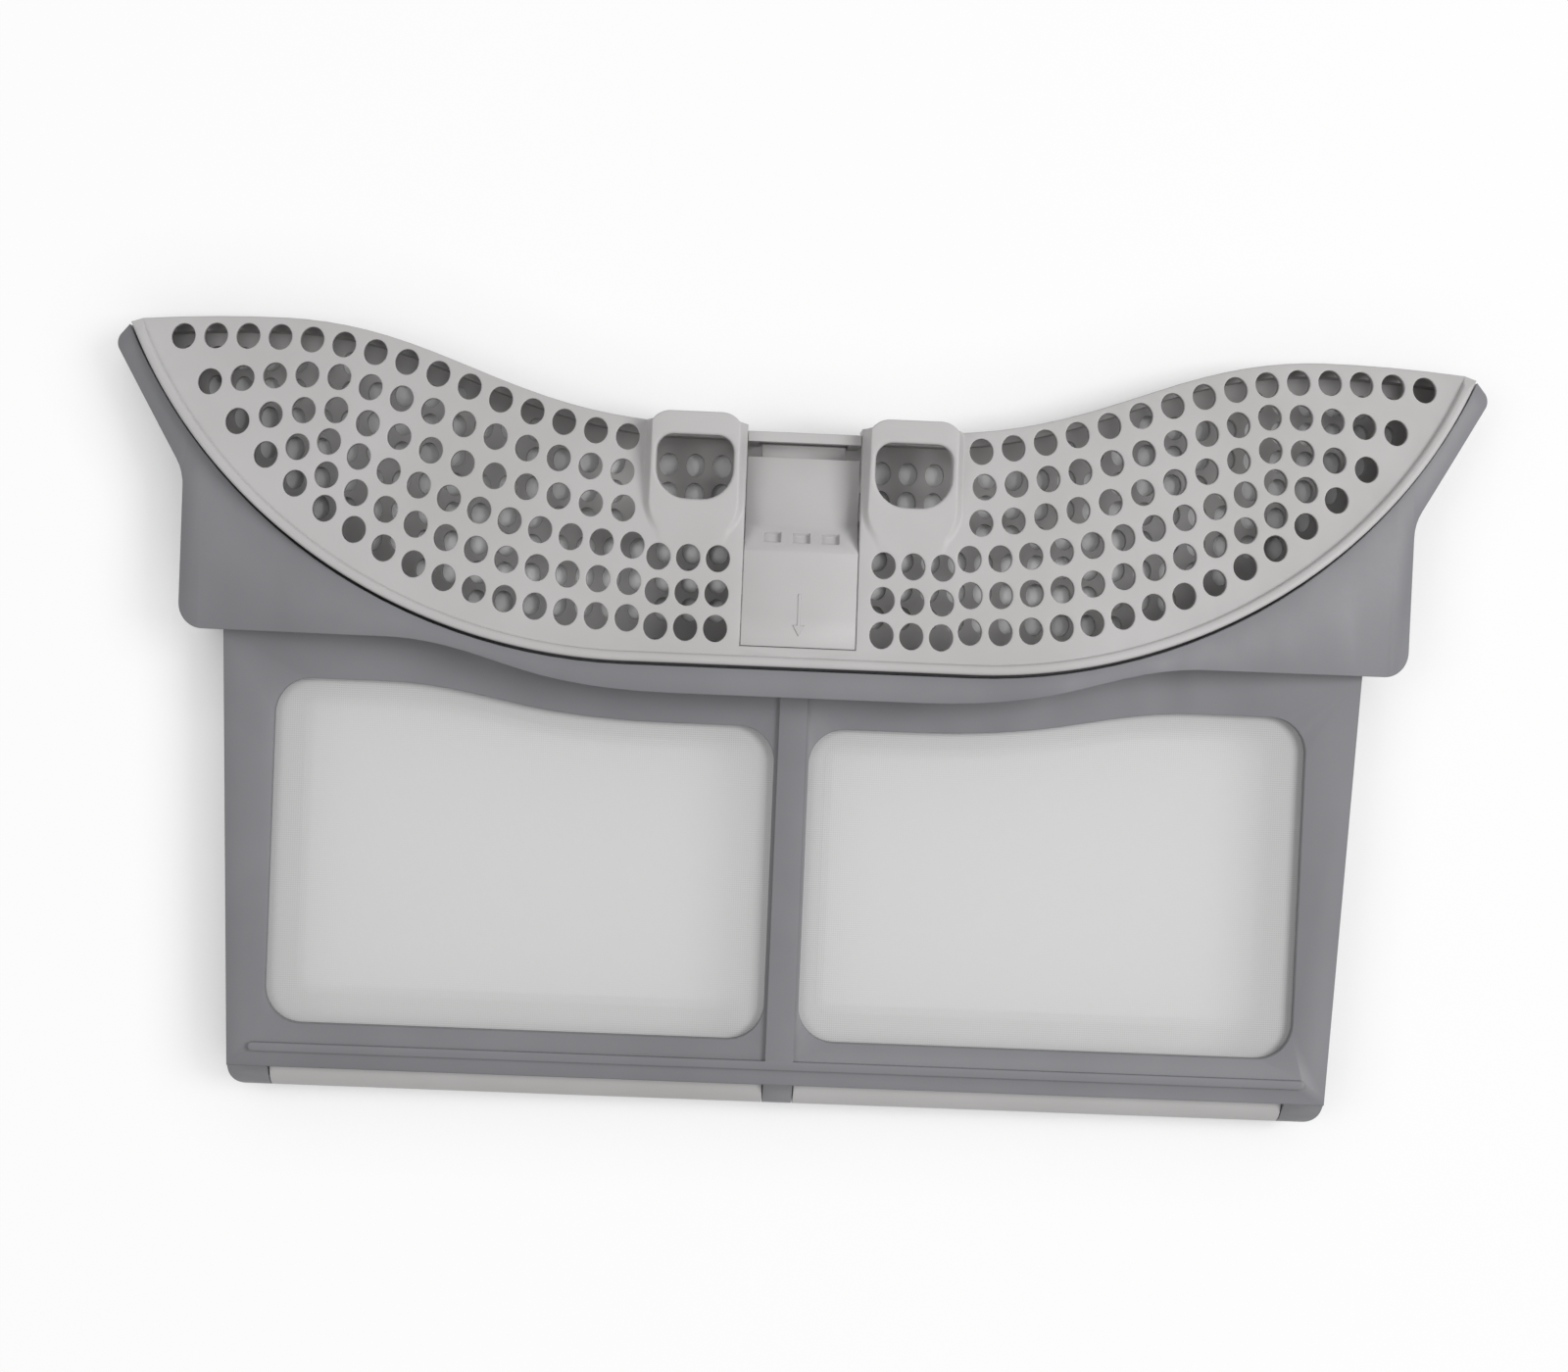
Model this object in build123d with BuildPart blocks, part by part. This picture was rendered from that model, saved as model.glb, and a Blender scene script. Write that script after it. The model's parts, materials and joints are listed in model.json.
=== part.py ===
"""Tumble dryer lint filter that opens like a book.

A rear tray and a front frame hold nylon mesh windows and are hinged along the bottom edge.
A perforated, curved grille closes the top of the front frame. It has two finger cowls and,
between them, a thumb latch that frees the front half from a hook bar on the rear tray.

The filter lies on its back: X is its width, Y runs from the hinge to the grille and Z is depth.
"""

import os
from math import asin, cos, degrees, pi, radians, sin, sqrt

from build123d import *

os.makedirs("parts", exist_ok=True)

# Size of the whole filter in plan
overall_height = 214.4
wing_half_width = 192.0
ear_half_width = 170.2
shoulder_drop = 44.0
tip_drop = 8.3
tip_width = 6.0
tip_radius = 3.5
shoulder_radius = 14.0
ear_corner_radius = 7.0

# Top edge of the grille, from the middle out to the crest of each wing
top_flat_half_width = 40.0
top_flat_drop = 24.6
top_mid_x = 88.0
top_mid_drop = 13.6
crest_x = 146.0
tip_top_drop = 2.1

# Collar below the grille, with its lower edge dipping in the middle
collar_height = 86.9
collar_dip = 12.1
dip_start_x = 112.0
dip_mid_x = 72.0
dip_flat_half_width = 34.0
collar_wall = 2.4

# Rim of the grille: a straight middle and two arcs
grille_height = 91.3
rim_flat_half_width = 47.0
rim_radius = 156.0
rim_width = 3.6
rim_proud = 1.8
rim_skirt_width = 2.2
rim_skirt_depth = 7.0
rim_gap = 0.4
ledge_reach = 3.0
ledge_thickness = 2.0
ledge_clearance = 0.2

# Depth of the filter, from the back
hinge_radius = 9.0
split_gap = 0.4
rear_plate = 2.6
front_plate = 2.6
barrel_clearance = 0.4
rim_depth = 37.0
section_radius = 437.0
section_start_angle = 7.0
section_chords = 5
bow_flat_half_width = 80.0
bow_radius = 292.0
grille_thickness = 2.4

# Lower frame and its mesh windows
pocket_half_width = 158.0
pocket_bottom_half_width = 153.0
pocket_wall = 2.4
plate_bottom_margin = 7.0
window_half_gap = 4.8
window_side_margin = 14.8
window_bottom_margin = 19.3
window_top_margin = 12.5
window_top_dip = 8.3
window_corner_radius = 10.0
rear_window_inset = 7.5
mesh_lap = 2.0
mesh_thickness = 0.5
mesh_clearance = 0.05
centre_rib_width = 7.7
rib_proud = 1.4
bead_offset = 12.6
bead_half_length = 147.0
bead_width = 2.4

# Hinge along the bottom edge
centre_knuckle_half = 4.1
end_knuckle_inner = 142.0
end_knuckle_outer = 153.0
knuckle_gap = 0.3
pin_radius = 3.0
pin_length = 9.0
pin_clearance = 0.05
pin_end_gap = 0.5
knuckle_round = 5.0

# Perforations of the grille
hole_width = 6.9
hole_height = 7.6
hole_sides = 8
hole_pitch = 8.4
row_start = 11.4
row_start_x = 48.4
row_pitch = 11.0
row_pitch_loss = 0.4
row_count = 6
row_flat_half_width = 45.0
row_radius = 152.0
hole_edge_margin = 5.4
centre_columns = 3
centre_rows = 3
centre_column_x = 23.2
centre_row_start = 10.2
centre_row_pitch = 9.5

# Finger cowls
cowl_x = 29.9
cowl_width = 26.0
cowl_top_drop = 22.2
cowl_length = 37.0
cowl_depth = 31.4
cowl_wall = 2.4
cowl_corner_radius = 6.0
finger_width = 21.0
finger_height = 17.5
finger_drop = 37.3
finger_top_radius = 4.5
finger_bottom_radius = 8.5

# Thumb latch between the cowls
latch_half_width = 15.6
latch_slit = 0.4
panel_start = 6.0
panel_end_drop = 59.2
panel_recess = 0.2
thumb_run = 7.7
thumb_fall = 7.5
floor_end_drop = 33.2
floor_fall = 2.5
floor_thickness = 2.2
hook_step = 4.0
hook_half_width = 11.6
hook_bar_gap = 0.4
bar_drop = 26.4
bar_width = 2.7
bar_depth = 24.0
bar_thickness = 4.0
post_width = 3.0
notch_pitch = 8.0
notch_width = 4.8
notch_height = 4.0
notch_depth = 1.2

# Rear tray and its perforations
rear_inset = 0.6
rear_hole_radius = 4.6
rear_hole_sides = 8
rear_hole_pitch = 17.0
rear_hole_margin = 9.0

# Places that follow from the sizes above
y_top = overall_height / 2
y_bottom = -overall_height / 2
hinge_y = y_bottom + hinge_radius
hinge_z = hinge_radius
split_low = hinge_z - split_gap / 2
split_high = hinge_z + split_gap / 2
plate_back = hinge_z + hinge_radius + barrel_clearance
plate_face = plate_back + front_plate
plate_low_y = y_bottom + plate_bottom_margin
collar_y = y_top - collar_height
collar_low_y = collar_y - collar_dip
pocket_top_y = collar_y + collar_wall
rim_y = y_top - grille_height
rim_centre_y = rim_y + rim_radius
flat_y = y_top - top_flat_drop
window_low_y = y_bottom + window_bottom_margin
window_high_y = collar_y - window_top_margin
cowl_y = y_top - cowl_top_drop
finger_y = y_top - finger_drop
panel_low_y = rim_y + panel_start
panel_high_y = y_top - panel_end_drop
floor_y = y_top - floor_end_drop
bar_high_y = y_top - bar_drop
bar_low_y = bar_high_y - bar_width
slot_half_width = latch_half_width + latch_slit
far = overall_height + wing_half_width
sides = (-1, 1)

# The grille's section is an arc that leans back, with its centre far below
section_centre_y = rim_y - section_radius * sin(radians(section_start_angle))
section_centre_z = rim_depth - section_radius * cos(radians(section_start_angle))


def surface_z(y):
    """Depth of the grille's outer face at a given Y."""
    return section_centre_z + sqrt(section_radius**2 - (y - section_centre_y) ** 2)


def plan_of_collar(inset):
    """Outline of the collar, ears and wings, drawn a given distance inside the real edge."""
    top = y_top - inset
    tip_x = wing_half_width - inset
    tip_top = (tip_x - tip_width, top - tip_top_drop)
    tip_side = (tip_x, y_top - tip_drop)
    shoulder = (ear_half_width - inset, y_top - shoulder_drop)
    ear_corner = (ear_half_width - inset, collar_y + inset)
    low_y = collar_low_y + inset
    rounded = [
        (tip_top, tip_radius),
        (tip_side, tip_radius),
        (shoulder, shoulder_radius),
        (ear_corner, ear_corner_radius),
    ]
    with BuildSketch() as plan:
        with BuildLine():
            start = Line((0, flat_y - inset), (top_flat_half_width, flat_y - inset))
            rise_points = [start @ 1, (top_mid_x, top - top_mid_drop), (crest_x, top)]
            rise = Spline(rise_points, tangents=[(1, 0.05), (1, 0)])
            fall = Spline([rise @ 1, tip_top], tangents=[(1, 0), (1, -0.1)])
            Polyline(fall @ 1, tip_side, shoulder, ear_corner)
            shelf = Line(ear_corner, (dip_start_x, collar_y + inset))
            dip_points = [shelf @ 1, (dip_mid_x, low_y + collar_dip / 3), (dip_flat_half_width, low_y)]
            dip = Spline(dip_points, tangents=[(-1, 0), (-1, 0)])
            Line(dip @ 1, (0, low_y))
            mirror(about=Plane.YZ)
        make_face()
        for corner, radius in rounded:
            for side in sides:
                place = Vector(side * corner[0], corner[1], 0)
                fillet(plan.vertices().sort_by_distance(place)[0], radius=max(radius - inset, 1))
    return plan.sketch


def plan_above_rim(inset):
    """Everything on the grille's side of the rim line, moved inwards by a given distance."""
    with BuildSketch() as plan:
        with BuildLine():
            Line((0, rim_y + inset), (rim_flat_half_width, rim_y + inset))
            arc = CenterArc((rim_flat_half_width, rim_centre_y), rim_radius - inset, -90, 90)
            Line(arc @ 1, (0, rim_centre_y))
            mirror(about=Plane.YZ)
        make_face()
    return plan.sketch


def plan_of_grille(inset):
    """What lies on the grille's side of the rim line and within the collar's outline."""
    rim_side = plan_above_rim(inset)
    with BuildSketch() as plan:
        add(rim_side)
        add(collar_plan, mode=Mode.INTERSECT)
    return plan.sketch


def plan_of_rim(outer, inner):
    """Band along the rim line, between two distances inside it."""
    outer_plan = plan_of_grille(outer)
    inner_plan = plan_above_rim(inner)
    with BuildSketch() as plan:
        add(outer_plan)
        add(inner_plan, mode=Mode.SUBTRACT)
    return plan.sketch


def plan_of_pocket(inset, low_y, high_y):
    """Tapered outline of the lower frame between two heights, drawn inside its sides by an inset."""
    taper = (pocket_half_width - pocket_bottom_half_width) / (collar_y - hinge_y)
    low_x = pocket_bottom_half_width - inset + taper * (low_y - hinge_y)
    high_x = pocket_bottom_half_width - inset + taper * (high_y - hinge_y)
    with BuildSketch() as plan:
        with BuildLine():
            Polyline((-low_x, low_y), (low_x, low_y), (high_x, high_y), (-high_x, high_y), close=True)
        make_face()
    return plan.sketch


def plan_of_window(inset, side):
    """Outline of one mesh window, with its top edge dipping beside the centre rib."""
    inner_x = window_half_gap + inset
    outer_x = pocket_half_width - window_side_margin - inset
    low_y = window_low_y + inset
    high_y = window_high_y - inset
    dip_y = high_y - window_top_dip
    corners = [(inner_x, dip_y), (inner_x, low_y), (outer_x, low_y), (outer_x, high_y)]
    with BuildSketch() as plan:
        with BuildLine():
            edge = Polyline((dip_flat_half_width, dip_y), *corners, (dip_start_x, high_y))
            dip_points = [edge @ 1, (dip_mid_x, dip_y + window_top_dip / 3), edge @ 0]
            Spline(dip_points, tangents=[(-1, 0), (-1, 0)])
        make_face()
        for corner in corners:
            nearest = plan.vertices().sort_by_distance(Vector(*corner, 0))[0]
            fillet(nearest, radius=max(window_corner_radius - inset, 2))
        if side < 0:
            mirror(about=Plane.YZ, mode=Mode.REPLACE)
    return plan.sketch


def plan_of_cowl(inset, side):
    """Outline of one finger cowl: a flat top with round corners and a round bottom."""
    width = cowl_width - 2 * inset
    straight = cowl_length - cowl_width / 2 - inset
    with BuildSketch() as plan:
        with Locations((side * cowl_x, cowl_y - inset)):
            Rectangle(width, straight, align=(Align.CENTER, Align.MAX))
        fillet(plan.vertices().group_by(Axis.Y)[-1], radius=cowl_corner_radius - inset)
        with Locations((side * cowl_x, cowl_y - inset - straight)):
            Circle(width / 2)
    return plan.sketch


def under_bow(plan, drop, low):
    """Solid over a plan, from a low level up to the collar's bowed face lowered by a drop."""
    reach = wing_half_width + collar_wall - bow_flat_half_width
    turn = degrees(asin(reach / (bow_radius - drop)))
    with BuildPart() as block:
        extrude(plan, amount=2 * rim_depth)
        with BuildSketch(Plane.XZ):
            with BuildLine():
                Line((0, rim_depth - drop), (bow_flat_half_width, rim_depth - drop))
                centre = (bow_flat_half_width, rim_depth - bow_radius)
                bow = CenterArc(centre, bow_radius - drop, 90, -turn)
                Polyline(bow @ 1, ((bow @ 1).X, low), (0, low))
                mirror(about=Plane.YZ)
            make_face()
        extrude(amount=far, both=True, mode=Mode.INTERSECT)
    return block.part


def under_section(plan, drop, low):
    """Solid over a plan, from a low level up to the grille's curved face lowered by a drop.

    The curve is drawn in chords that leave it by less than a tenth of a millimetre, so that
    the walls of the many perforations stay flat and light.
    """
    first = asin((rim_y - collar_wall - rim_width - section_centre_y) / section_radius)
    last = asin((y_top + collar_wall - section_centre_y) / section_radius)
    with BuildPart() as block:
        extrude(plan, amount=2 * rim_depth)
        with BuildSketch(Plane.YZ):
            with BuildLine():
                centre = (section_centre_y, section_centre_z)
                start_angle = 90 - degrees(last)
                turn = degrees(last - first)
                arc = CenterArc(centre, section_radius - drop, start_angle, turn, mode=Mode.PRIVATE)
                chord_ends = [arc @ (step / section_chords) for step in range(section_chords + 1)]
                Polyline(*chord_ends, ((arc @ 1).X, low), ((arc @ 0).X, low), close=True)
            make_face()
        extrude(amount=far, both=True, mode=Mode.INTERSECT)
    return block.part


def slab(plan, drop, thickness):
    """Curved plate over a plan that follows the grille's face, between two drops."""
    outer = under_section(plan, drop, 0)
    inner = under_section(plan, drop + thickness, -rim_depth)
    with BuildPart() as plate:
        add(outer)
        add(inner, mode=Mode.SUBTRACT)
    return plate.part


def oval(width, height, side_count):
    """Corner points of a faceted oval."""
    turns = [2 * pi * (corner + 0.5) / side_count for corner in range(side_count)]
    return [(width / 2 * cos(turn), height / 2 * sin(turn)) for turn in turns]


def row_rise(x):
    """How far a row of perforations climbs at a given distance from the middle."""
    out = max(x - row_flat_half_width, 0)
    return row_radius - sqrt(row_radius**2 - out**2)


def grille_holes():
    """Centres of the perforations: columns beside the latch, then rows that climb to the wings."""
    centres = []
    for row in range(centre_rows):
        for column in range(centre_columns):
            x = centre_column_x + column * hole_pitch
            centres.append((x, rim_y + centre_row_start + row * centre_row_pitch))
    for row in range(row_count):
        base_y = rim_y + row_start + row * row_pitch - row_pitch_loss * row * (row - 1) / 2
        x = row_start_x
        while base_y + row_rise(x) < y_top - hole_edge_margin:
            centres.append((x, base_y + row_rise(x)))
            x += hole_pitch
    return [(side * x, y) for x, y in centres for side in sides]


def rear_holes():
    """Centres of the rear tray's perforations, a plain grid inside the rim and the top edge."""
    centres = []
    y = rim_y + rim_width + rear_hole_margin
    while y < y_top - rear_hole_margin:
        reach = rim_flat_half_width + sqrt(rim_radius**2 - (rim_centre_y - y) ** 2)
        climb = max(y + rear_hole_margin - flat_y, 0) / top_flat_drop
        inner_x = climb * (crest_x - rear_hole_margin)
        x = rear_hole_pitch / 2
        while x < reach - rear_hole_margin:
            if x > inner_x:
                centres.append((x, y))
            x += rear_hole_pitch
        y += rear_hole_pitch
    return [(side * x, y) for x, y in centres for side in sides]


# Outlines and solids that several pieces share
collar_plan = plan_of_collar(0)
collar_inner_plan = plan_of_collar(collar_wall)
grille_plan = plan_of_grille(0)
knuckles = [
    (-end_knuckle_outer, -end_knuckle_inner),
    (-centre_knuckle_half, centre_knuckle_half),
    (end_knuckle_inner, end_knuckle_outer),
]
pins = [
    (-end_knuckle_inner, 1),
    (-centre_knuckle_half, -1),
    (centre_knuckle_half, 1),
    (end_knuckle_inner, -1),
]

# Flange and ledge along the collar's opening that carry the grille
ledge_drop = rim_skirt_depth + ledge_clearance
flange_plan = plan_of_rim(-rim_gap - collar_wall, -rim_gap)
flange = under_bow(flange_plan, 0, split_high)
below_ledge = under_section(flange_plan, ledge_drop + ledge_thickness, 0)
ledge_band = plan_of_rim(-rim_gap - collar_wall, ledge_reach)
ledge_limit = plan_of_collar(collar_wall + rim_gap)
with BuildSketch() as ledge_plan:
    add(ledge_band)
    add(ledge_limit, mode=Mode.INTERSECT)
ledge = slab(ledge_plan.sketch, ledge_drop, ledge_thickness)
with BuildPart() as seat:
    add(flange)
    add(below_ledge, mode=Mode.SUBTRACT)
    add(ledge)

# Front frame: collar with ears, lower frame with two windows, hinge knuckles with stub pins
collar_solid = under_bow(collar_plan, 0, split_high)
collar_core = under_bow(collar_inner_plan, collar_wall, 0)
opening_plan = plan_above_rim(-rim_gap)
pocket_plan = plan_of_pocket(0, plate_low_y, pocket_top_y)
pocket_core = plan_of_pocket(pocket_wall, y_bottom, pocket_top_y + collar_wall)
windows = [plan_of_window(0, side) for side in sides]
rib_low_y = y_bottom + bead_offset
round_x = end_knuckle_outer - knuckle_round
rib_length = collar_low_y + collar_wall / 2 - rib_low_y
with BuildPart() as front_frame:
    add(collar_solid)
    add(collar_core, mode=Mode.SUBTRACT)
    extrude(opening_plan, amount=2 * rim_depth, mode=Mode.SUBTRACT)
    add(seat.part)
    extrude(collar_plan, amount=split_high, mode=Mode.SUBTRACT)
    with BuildSketch(Plane.XY.offset(split_high)):
        add(pocket_plan)
    extrude(amount=plate_face - split_high)
    extrude(pocket_core, amount=plate_back, mode=Mode.SUBTRACT)
    for window in windows:
        extrude(window, amount=plate_face, mode=Mode.SUBTRACT)
    with BuildSketch(Plane.XY.offset(plate_face)):
        with Locations((0, rib_low_y)):
            SlotOverall(2 * bead_half_length, bead_width)
            Rectangle(centre_rib_width, rib_length, align=(Align.CENTER, Align.MIN))
    extrude(amount=rib_proud)
    for start_x, end_x in knuckles:
        with BuildSketch(Plane.YZ.offset(start_x)):
            with Locations((hinge_y, hinge_z)):
                Circle(hinge_radius)
            with Locations((hinge_y, plate_back), (hinge_y + hinge_radius, plate_back)):
                Circle(front_plate)
            make_hull()
        extrude(amount=end_x - start_x)
    with BuildSketch():
        with Locations((-end_knuckle_outer, y_bottom), (end_knuckle_outer, y_bottom)):
            Rectangle(2 * knuckle_round, 2 * knuckle_round)
        with Locations((-round_x, y_bottom + knuckle_round), (round_x, y_bottom + knuckle_round)):
            Circle(knuckle_round, mode=Mode.SUBTRACT)
    extrude(amount=2 * rim_depth, mode=Mode.SUBTRACT)
    for start_x, direction in pins:
        with BuildSketch(Plane.YZ.offset(start_x)):
            with Locations((hinge_y, hinge_z)):
                Circle(pin_radius)
        extrude(amount=direction * pin_length)
front_frame.part.label = "front_frame"
export_step(front_frame.part, "parts/front_frame.step")

# Grille cover: perforated curved plate, raised rim, top skirt, two cowls and the latch slot
plate_solid = slab(grille_plan, 0, grille_thickness)
skirt_solid = under_section(grille_plan, 0, split_high)
rim_solid = slab(plan_of_rim(0, rim_width), -rim_proud, rim_proud + grille_thickness)
rim_skirt = slab(plan_of_rim(0, rim_skirt_width), 0, rim_skirt_depth)
below_plate = under_section(grille_plan, grille_thickness, 0)
below_skirt = under_section(grille_plan, grille_thickness + collar_wall, 0)
cowl_low_z = surface_z(cowl_y) - grille_thickness
cowl_plans = [plan_of_cowl(0, side) for side in sides]
with BuildPart() as cowl_shells:
    with BuildSketch(Plane.XY.offset(cowl_low_z)):
        add(cowl_plans)
    extrude(amount=cowl_depth - cowl_low_z)
    add(below_plate, mode=Mode.SUBTRACT)
with BuildPart() as cowl_hollows:
    for side in sides:
        extrude(plan_of_cowl(cowl_wall, side), amount=cowl_depth - cowl_wall)
    with BuildSketch() as finger_holes:
        with Locations((-cowl_x, finger_y), (cowl_x, finger_y)):
            Rectangle(finger_width, finger_height)
        fillet(finger_holes.vertices().group_by(Axis.Y)[-1], radius=finger_top_radius)
        fillet(finger_holes.vertices().group_by(Axis.Y)[0], radius=finger_bottom_radius)
    extrude(amount=cowl_depth + cowl_wall)
    add(below_skirt, mode=Mode.SUBTRACT)
with BuildPart() as grille_cover:
    add(skirt_solid)
    extrude(collar_inner_plan, amount=2 * rim_depth, mode=Mode.SUBTRACT)
    add(plate_solid)
    add(rim_solid)
    add(rim_skirt)
    add(cowl_shells.part)
    add(cowl_hollows.part, mode=Mode.SUBTRACT)
    with BuildSketch():
        with Locations((0, panel_low_y - latch_slit)):
            Rectangle(2 * slot_half_width, overall_height, align=(Align.CENTER, Align.MIN))
    extrude(amount=2 * rim_depth, mode=Mode.SUBTRACT)
    with BuildSketch():
        with Locations(grille_holes()):
            Polygon(*oval(hole_width, hole_height, hole_sides))
    extrude(amount=2 * rim_depth, mode=Mode.SUBTRACT)
grille_cover.part.label = "grille_cover"
export_step(grille_cover.part, "parts/grille_cover.step")

# Thumb latch: curved panel, sloping thumb ledge with three notches, set-back floor and hook
with BuildSketch() as panel_plan:
    with Locations((0, panel_low_y)):
        panel_length = panel_high_y - panel_low_y
        Rectangle(2 * latch_half_width, panel_length, align=(Align.CENTER, Align.MIN))
panel_solid = slab(panel_plan.sketch, panel_recess, grille_thickness)
panel_z = surface_z(panel_high_y) - panel_recess
thumb_y = panel_high_y + thumb_run
thumb_z = panel_z - thumb_fall
floor_z = thumb_z - floor_fall
hook_z = floor_z - hook_step
hook_y = bar_low_y - hook_bar_gap
thumb_slope = degrees(asin(thumb_fall / sqrt(thumb_run**2 + thumb_fall**2)))
with BuildPart() as thumb_latch:
    add(panel_solid)
    with BuildSketch(Plane.YZ):
        with BuildLine():
            Polyline(
                (panel_high_y - grille_thickness / 2, panel_z),
                (panel_high_y, panel_z),
                (thumb_y, thumb_z),
                (floor_y, floor_z),
                (floor_y, floor_z - floor_thickness),
                (thumb_y - floor_thickness, thumb_z - floor_thickness),
                (panel_high_y - grille_thickness / 2, panel_z - grille_thickness),
                close=True,
            )
        make_face()
    extrude(amount=latch_half_width, both=True)
    with BuildSketch(Plane.YZ):
        with BuildLine():
            Polyline(
                (floor_y, floor_z),
                (floor_y, hook_z),
                (hook_y, hook_z),
                (hook_y, hook_z - floor_thickness),
                (floor_y - floor_thickness, hook_z - floor_thickness),
                (floor_y - floor_thickness, floor_z - floor_thickness / 2),
                close=True,
            )
        make_face()
    extrude(amount=hook_half_width, both=True)
    slope_middle = (0, panel_high_y + thumb_run / 2, panel_z - thumb_fall / 2)
    with BuildSketch(Plane(slope_middle) * Rot(X=-thumb_slope)):
        with GridLocations(notch_pitch, 0, 3, 1):
            Rectangle(notch_width, notch_height)
    extrude(amount=-notch_depth, mode=Mode.SUBTRACT)
thumb_latch.part.label = "thumb_latch"
export_step(thumb_latch.part, "parts/thumb_latch.step")

# Rear tray: flat back with two windows and perforations, low walls, hinge barrels and hook bar
rear_collar_plan = plan_of_collar(rear_inset)
rear_collar_core = plan_of_collar(rear_inset + collar_wall)
rear_pocket_plan = plan_of_pocket(rear_inset, hinge_y, pocket_top_y)
rear_pocket_core = plan_of_pocket(rear_inset + pocket_wall, y_bottom, pocket_top_y + collar_wall)
rear_windows = [plan_of_window(rear_window_inset, side) for side in sides]
barrel_start = centre_knuckle_half + knuckle_gap
barrel_end = end_knuckle_inner - knuckle_gap
bore_radius = pin_radius + pin_clearance
bore_depth = pin_length - knuckle_gap + pin_end_gap
with BuildPart() as rear_frame:
    extrude(rear_collar_plan, amount=split_low)
    extrude(rear_pocket_plan, amount=split_low)
    with BuildSketch(Plane.XY.offset(rear_plate)):
        add(rear_collar_core)
        add(rear_pocket_core)
    extrude(amount=hinge_radius, mode=Mode.SUBTRACT)
    for window in rear_windows:
        extrude(window, amount=rear_plate, mode=Mode.SUBTRACT)
    with BuildSketch(Plane.YZ):
        with Locations((hinge_y, hinge_z)):
            Circle(hinge_radius + barrel_clearance)
    extrude(amount=far, both=True, mode=Mode.SUBTRACT)
    for side in sides:
        with BuildSketch(Plane.YZ.offset(side * barrel_start)):
            with Locations((hinge_y, hinge_z)):
                Circle(hinge_radius)
            with Locations((hinge_y, 0)):
                Rectangle(hinge_radius + rear_plate, rear_plate, align=(Align.MIN, Align.MIN))
        extrude(amount=side * (barrel_end - barrel_start))
        for end_x, direction in ((barrel_start, 1), (barrel_end, -1)):
            with BuildSketch(Plane.YZ.offset(side * end_x)):
                with Locations((hinge_y, hinge_z)):
                    Circle(bore_radius)
            extrude(amount=side * direction * bore_depth, mode=Mode.SUBTRACT)
    with BuildSketch(Plane.XZ.offset(-bar_low_y)):
        with BuildLine():
            inner_x = latch_half_width - post_width
            bar_under = bar_depth - bar_thickness
            Polyline(
                (-latch_half_width, rear_plate / 2),
                (-latch_half_width, bar_depth),
                (latch_half_width, bar_depth),
                (latch_half_width, rear_plate / 2),
                (inner_x, rear_plate / 2),
                (inner_x, bar_under),
                (-inner_x, bar_under),
                (-inner_x, rear_plate / 2),
                close=True,
            )
        make_face()
    extrude(amount=-bar_width)
    with BuildSketch():
        with Locations(rear_holes()):
            RegularPolygon(rear_hole_radius, rear_hole_sides)
    extrude(amount=rear_plate, mode=Mode.SUBTRACT)
rear_frame.part.label = "rear_frame"
export_step(rear_frame.part, "parts/rear_frame.step")

# Nylon mesh panels, laid over the windows on the inner face of each half
front_mesh_z = plate_back - mesh_clearance - mesh_thickness
rear_mesh_z = rear_plate + mesh_clearance
for name, side, inset, back in (
    ("front_mesh_left", -1, -mesh_lap, front_mesh_z),
    ("front_mesh_right", 1, -mesh_lap, front_mesh_z),
    ("rear_mesh_left", -1, rear_window_inset - mesh_lap, rear_mesh_z),
    ("rear_mesh_right", 1, rear_window_inset - mesh_lap, rear_mesh_z),
):
    mesh_plan = plan_of_window(inset, side)
    with BuildPart() as mesh:
        with BuildSketch(Plane.XY.offset(back)):
            add(mesh_plan)
        extrude(amount=mesh_thickness)
    mesh.part.label = name
    export_step(mesh.part, f"parts/{name}.step")
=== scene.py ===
# %% [markdown]
# # A tumble dryer lint filter
#
# The filter is a flat book of two moulded frames. Its front half carries a curved, perforated
# grille with two finger cowls and a thumb latch, and both halves hold windows of fine nylon mesh.
# The solids come from the CAD frame, already in place and in metres. This lesson gives them
# softened edges, plastics with a moulded grain, woven mesh, studio light and a camera. Two of them,
# the grille and the rear tray, are drawn again with finer holes than the solids carry.

import json
from math import asin, atan2, cos, degrees, pi, radians, sin, sqrt

import bmesh
import bpy
from mathutils import Matrix, Vector
from mathutils.geometry import delaunay_2d_cdt

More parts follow.
